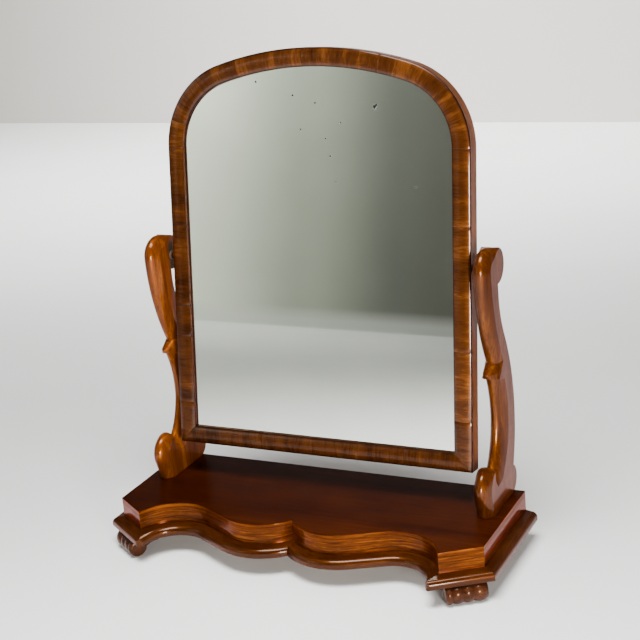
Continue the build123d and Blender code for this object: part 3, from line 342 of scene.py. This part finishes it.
def metal(name, dark, light, roughness):
    """Dull brass or steel with tarnish."""
    s = Shader(name)
    spots = s.noise(s.place(), 260.0, 4.0, 0.6)
    s.set(Base_Color=s.ramp(spots, [(0.35, dark), (0.65, light)]), Metallic=1.0,
          Roughness=s.span(spots, 0.3, 0.7, roughness, roughness + 0.2))
    s.bump(spots, 0.05, 0.0003, soft_edge=0.0003)
    return s.material


def leather(name):
    """Dark washer leather."""
    s = Shader(name)
    grain = s.node("ShaderNodeTexVoronoi", [("Vector", s.place()), ("Scale", 900.0)]).outputs[0]
    s.set(Base_Color=s.ramp(grain, [(0.1, (0.03, 0.018, 0.012)), (0.7, (0.08, 0.045, 0.03))]),
          Roughness=0.6)
    s.bump(grain, 0.3, 0.0004)
    return s.material


# Dark, middle and light streak of each piece's wood.
FRIEZE_TONES = ((0.038, 0.0074, 0.0005), (0.092, 0.0200, 0.0011), (0.21, 0.053, 0.0025))
UPRIGHT_TONES = ((0.042, 0.0087, 0.0004), (0.080, 0.0182, 0.0009), (0.148, 0.039, 0.0019))
FACING_TONES = ((0.025, 0.0064, 0.0015), (0.066, 0.0180, 0.0035), (0.16, 0.048, 0.009))
TOP_TONES = ((0.019, 0.0026, 0.0002), (0.032, 0.0050, 0.0003), (0.048, 0.0088, 0.0006))
MOULD_TONES = ((0.020, 0.0044, 0.0007), (0.040, 0.0096, 0.0014), (0.070, 0.019, 0.003))
FOOT_TONES = ((0.018, 0.0055, 0.0025), (0.040, 0.0120, 0.0050), (0.064, 0.021, 0.009))
CORE_TONES = ((0.10, 0.0290, 0.0085), (0.15, 0.0460, 0.0145), (0.20, 0.064, 0.022))

FINISHES = {
    "top_mahogany": board_mahogany("top_mahogany", TOP_TONES, FRIEZE_TONES),
    "frieze_mahogany": mahogany("frieze_mahogany", FRIEZE_TONES, ALONG_EDGE, depth=0.78,
                                rough=0.27, wide=400.0, fine=1400.0, shine=0.5),
    "moulding_mahogany": mahogany("moulding_mahogany", MOULD_TONES, ALONG_EDGE, depth=0.40,
                                  rough=0.28, coat=0.24, shine=0.36),
    "upright_mahogany": mahogany("upright_mahogany", UPRIGHT_TONES, ALONG_Z, depth=0.50,
                                 coat=0.30, shine=0.36, left=2.0),
    "facing_mahogany": facing_mahogany("facing_mahogany", FACING_TONES),
    "foot_mahogany": mahogany("foot_mahogany", FOOT_TONES, ALONG_X, depth=0.25, coat=0.14,
                              shine=0.5),
    "core_wood": mahogany("core_wood", CORE_TONES, ALONG_Z, depth=0.20, shine=0.16),
    "secondary_wood": plain_wood("secondary_wood", (0.15, 0.078, 0.036), (0.24, 0.14, 0.072),
                                 ALONG_X),
    "silvered_glass": old_silver("silvered_glass"),
    # Brass kept near black-brown: partly tarnish, partly painted shade of the dark gap between the upright's head
    # and the frame.
    "brass": metal("brass", (0.030, 0.016, 0.006), (0.085, 0.050, 0.018), 0.45),
    "steel": metal("steel", (0.14, 0.13, 0.12), (0.34, 0.33, 0.31), 0.35),
    "washer_leather": leather("washer_leather"),
}


def dress_nodes():
    """Every CAD node gets the material of its slot."""
    for part in frame["record"]["subparts"]:
        mesh = NODES[part["node"]].data
        mesh.materials.clear()
        mesh.materials.append(FINISHES[part["material_slot"]])


# ---------------------------------------------------------------- facings
# Each facing is laid in short cross-grained blocks. A point of it is given by its way along
# the frame's outer edge, how far in from that edge it is, and its height on the core.
HALF = 0.239                 # half the frame's width
FOOT = -0.290                # frame's lower edge
SPRING = 0.16457             # where the arch starts
SHOULDER = 0.124             # radius of the arch at its ends
CROWN = 0.512                # radius of the arch over its middle
ABOVE = 0.306                # frame's top
# Way in and height of the points of a facing's section, in millimetres.
SECTION = ((0.0, 0.0), (0.0, 3.5), (0.10, 4.15), (0.35, 4.60), (0.85, 4.98), (1.9, 5.53),
           (4.0, 6.37), (7.0, 7.25), (10.0, 7.78), (13.5, 8.0), (17.0, 7.78), (20.0, 7.25),
           (23.0, 6.37), (25.1, 5.53), (26.15, 4.98), (26.65, 4.60), (26.9, 4.15), (27.0, 3.5),
           (27.0, 0.0))
RISING = 3.0                 # millimetres: points above this height sink in the seams
SEAM = 0.0003                # half width of a seam's bottom
SEAM_SLOPE = 0.0008          # half width of a seam where it meets the blocks' surface
SEAM_DEPTH = 0.00014
UNEVEN = (-0.00012, 0.00006)         # how far a block may stand below or above its place
GLUE = 0.00003               # between the core and a facing
OWN_GRAIN = 0.731            # moves each block to a stretch of grain of its own
MITRED = 2 * WIDTH           # length over which the sections turn towards a mitre
STEP = 0.006                 # between two sections of a facing
CROWN_MIDDLE = ABOVE - CROWN
SHOULDER_TURN = atan2(SPRING - CROWN_MIDDLE, HALF - SHOULDER)
SHOULDER_LENGTH = SHOULDER * SHOULDER_TURN
CROWN_LENGTH = CROWN * (pi - 2 * SHOULDER_TURN)


def on_stile(side):
    """Way up a stile from the frame's foot."""
    return lambda along, inward: (side * (HALF - inward), FOOT + along)


def on_rail(along, inward):
    """Way along the bottom from its left end."""
    return -HALF + along, FOOT + inward


def on_arch(along, inward):
    """Way over the arch from its left springing."""
    if along < SHOULDER_LENGTH:
        turn = pi - along / SHOULDER
        return (SHOULDER - HALF + (SHOULDER - inward) * cos(turn),
                SPRING + (SHOULDER - inward) * sin(turn))
    if along < SHOULDER_LENGTH + CROWN_LENGTH:
        turn = pi - SHOULDER_TURN - (along - SHOULDER_LENGTH) / CROWN
        return (CROWN - inward) * cos(turn), CROWN_MIDDLE + (CROWN - inward) * sin(turn)
    turn = SHOULDER_TURN - (along - SHOULDER_LENGTH - CROWN_LENGTH) / SHOULDER
    return (HALF - SHOULDER + (SHOULDER - inward) * cos(turn),
            SPRING + (SHOULDER - inward) * sin(turn))


def stations(length, seams, step):
    """Places along a facing where its section stands, with the block and seam depth there."""
    made = []
    ends = [0.0, *seams, length]
    for block in range(len(ends) - 1):
        low, high = ends[block], ends[block + 1]
        count = max(2, round((high - low) / step))
        start = low + (SEAM if block else 0.0)
        stop = high - (SEAM if high < length else 0.0)
        made += [(start, block, 1.0), (low + SEAM_SLOPE, block, 0.0)]
        made += [(low + (high - low) * i / count, block, 0.0) for i in range(1, count)]
        made += [(high - SEAM_SLOPE, block, 0.0), (stop, block, 1.0)]
    return made


def make_facing(node, point, length, seams, tones, first_block, mitres, step=STEP):
    """Mesh of one facing, with the tone of each block, darker below zero. mitres says
    whether its start and its end are cut at 45 degrees."""
    chance = random.Random(first_block)
    work = bmesh.new()
    grain = work.verts.layers.float_vector.new("grain")
    seam_mark = work.verts.layers.float.new("seam")
    tone_mark = work.verts.layers.float.new("tone")
    levels = [chance.uniform(*UNEVEN) for _ in range(len(seams) + 1)]
    rows = []
    for along, block, seam in stations(length, seams, step):
        row = []
        for inward, height in SECTION:
            inward, height = inward / 1000, height / 1000
            place = along
            if mitres[0] and along < MITRED:
                place = inward + along * (MITRED - inward) / MITRED
            if mitres[1] and along > length - MITRED:
                place = length - inward - (length - along) * (MITRED - inward) / MITRED
            if height > RISING / 1000:
                height += levels[block] - SEAM_DEPTH * seam
            across, up = point(place, inward)
            vert = work.verts.new(frame_point(across, up, GLASS_OUT + GLUE + height))
            vert[grain] = (place, inward, OWN_GRAIN * (first_block + block))
            vert[seam_mark] = seam if height > RISING / 1000 else 0.0
            vert[tone_mark] = tones[block]
            row.append(vert)
        rows.append(row)
    for row, following in zip(rows, rows[1:]):
        for i in range(len(SECTION)):
            j = (i + 1) % len(SECTION)
            face = work.faces.new((row[i], row[j], following[j], following[i]))
            face.smooth = j != 0
    work.faces.new(rows[0])
    work.faces.new(list(reversed(rows[-1])))
    bmesh.ops.recalc_face_normals(work, faces=work.faces)
    mesh = bpy.data.meshes.new(f"{node}_blocks")
    work.to_mesh(mesh)
    work.free()
    mesh.materials.append(FINISHES["facing_mahogany"])
    made = bpy.data.objects.new(f"{node}_blocks", mesh)
    bpy.context.scene.collection.objects.link(made)
    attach(made, "mirror")
    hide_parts(node)


def make_facings():
    """The four facings, with seams where the photograph shows them."""
    stile = SPRING - FOOT
    make_facing("facing_left", on_stile(-1), stile, (0.064, 0.167, 0.215, 0.338),
                (-0.030, -0.035, -0.055, -0.045, -0.020), 1, (True, False))
    make_facing("facing_right", on_stile(1), stile, (0.073, 0.173, 0.348),
                (-0.020, 0.035, 0.010, -0.025), 11, (True, False))
    make_facing("facing_bottom", on_rail, 2 * HALF, (0.143, 0.375), (-0.085, -0.030, -0.045), 21,
                (True, True))
    arch = 2 * SHOULDER_LENGTH + CROWN_LENGTH
    make_facing("facing_arch", on_arch, arch, (0.043, 0.118, 0.190, 0.300, 0.420, 0.530),
                (0.045, -0.020, -0.015, 0.020, 0.030, 0.050, 0.055), 31, (False, False), step=0.004)


# ---------------------------------------------------------------- stage
WALL = 3.2                   # far enough for a look at the back
FRONT_WALL = -4.2
STAGE_ROUGHNESS = 0.9


def stage_box(name, low, high, material):
    """Flat slab of the studio, which isn't part of the object."""
    mesh = bpy.data.meshes.new(name)
    work = bmesh.new()
    bmesh.ops.create_cube(work, size=1.0)
    for vert in work.verts:
        vert.co = Vector([a + (c + 0.5) * (b - a) for a, b, c in zip(low, high, vert.co)])
    work.to_mesh(mesh)
    work.free()
    mesh.materials.append(material)
    made = bpy.data.objects.new(name, mesh)
    bpy.context.scene.collection.objects.link(made)


def paint(name, colour):
    """Plain studio paint."""
    s = Shader(name)
    soft = s.noise(s.place(), 3.0, 2.0, 0.5)
    low = tuple(0.97 * c for c in colour)
    s.set(Base_Color=s.ramp(soft, [(0.3, low), (0.7, colour)]), Roughness=STAGE_ROUGHNESS)
    return s.material


def back_card(name):
    """Wall behind the object, pale below and dark above, out of the photograph's view."""
    s = Shader(name)
    height = s.split(s.node("ShaderNodeTexCoord").outputs["Object"])[2]
    shade = s.ramp(s.span(height, 0.55, 1.25),
                   [(0.0, (0.66, 0.64, 0.60)), (1.0, (0.10, 0.09, 0.08))])
    s.set(Base_Color=shade, Roughness=STAGE_ROUGHNESS)
    return s.material


def front_card(name):
    """Card behind the camera, which the mirror shows: paler on the left and below. Its fall from pale on the left
    to dark on the right is painted light and shade; the paler band below is plain paint.
    """
    s = Shader(name)
    across, _, height = s.split(s.node("ShaderNodeTexCoord").outputs["Object"])
    # Painted light on the left, fading to painted shade on the right.
    shade = s.ramp(s.span(across, -2.8, -1.4),
                   [(0.0, (0.90, 0.94, 0.82)), (0.5, (0.37, 0.395, 0.33)),
                    (0.85, (0.15, 0.155, 0.135)), (1.0, (0.14, 0.14, 0.12))])
    below = s.math("MULTIPLY", s.span(height, 0.10, 0.04), 0.6)
    s.set(Base_Color=s.mix(below, shade, (0.70, 0.72, 0.69)), Roughness=STAGE_ROUGHNESS)
    return s.material


def area_light(name, place, target, width, height, power, colour=WHITE, spread=pi):
    """Soft light aimed at a point."""
    data = bpy.data.lights.new(name, "AREA")
    data.shape = "RECTANGLE"
    data.size = width
    data.size_y = height
    data.energy = power
    data.color = colour
    data.spread = spread
    lamp = bpy.data.objects.new(name, data)
    lamp.location = place
    lamp.rotation_euler = (Vector(target) - Vector(place)).to_track_quat("-Z", "Y").to_euler()
    bpy.context.scene.collection.objects.link(lamp)


def make_studio():
    """Pale floor, shaded walls before and behind, and soft lights."""
    stage_box("stage_floor", (-6, -5, -0.02), (6, 6, 0), paint("stage_floor", (0.86, 0.86, 0.85)))
    stage_box("stage_wall", (-6, WALL, 0), (6, WALL + 0.05, 4), back_card("stage_wall"))
    stage_box("stage_front_wall", (-8, FRONT_WALL, 0), (8, FRONT_WALL + 0.1, 4),
              front_card("stage_front_wall"))
    area_light("key_light", (1.55, -1.75, 0.34), (0, 0, 0.30), 0.45, 0.60, 92.0, (1.0, 0.97, 0.93))
    area_light("fill_light", (-2.2, -1.0, 1.4), (0, 0, 0.3), 1.0, 1.0, 5.0, (0.95, 0.97, 1.0))
    area_light("top_light", (0.3, -0.7, 2.5), (0.3, -0.7, 0.0), 1.6, 1.0, 50.0, spread=radians(90))
    area_light("wall_light", (-1.0, 1.9, 2.7), (-1.2, 2.6, 0.0), 3.2, 1.2, 120.0,
               spread=radians(100))
    area_light("card_light", (-2.8, -2.9, 2.3), (-2.6, FRONT_WALL, 0.8), 1.5, 0.5, 70.0)
    world = bpy.data.worlds.new("studio")
    world.use_nodes = True
    world.node_tree.nodes["Background"].inputs["Color"].default_value = (0.88, 0.88, 0.87, 1)
    world.node_tree.nodes["Background"].inputs["Strength"].default_value = 0.09
    bpy.context.scene.world = world


make_camera()
dress_nodes()
make_facings()
make_studio()
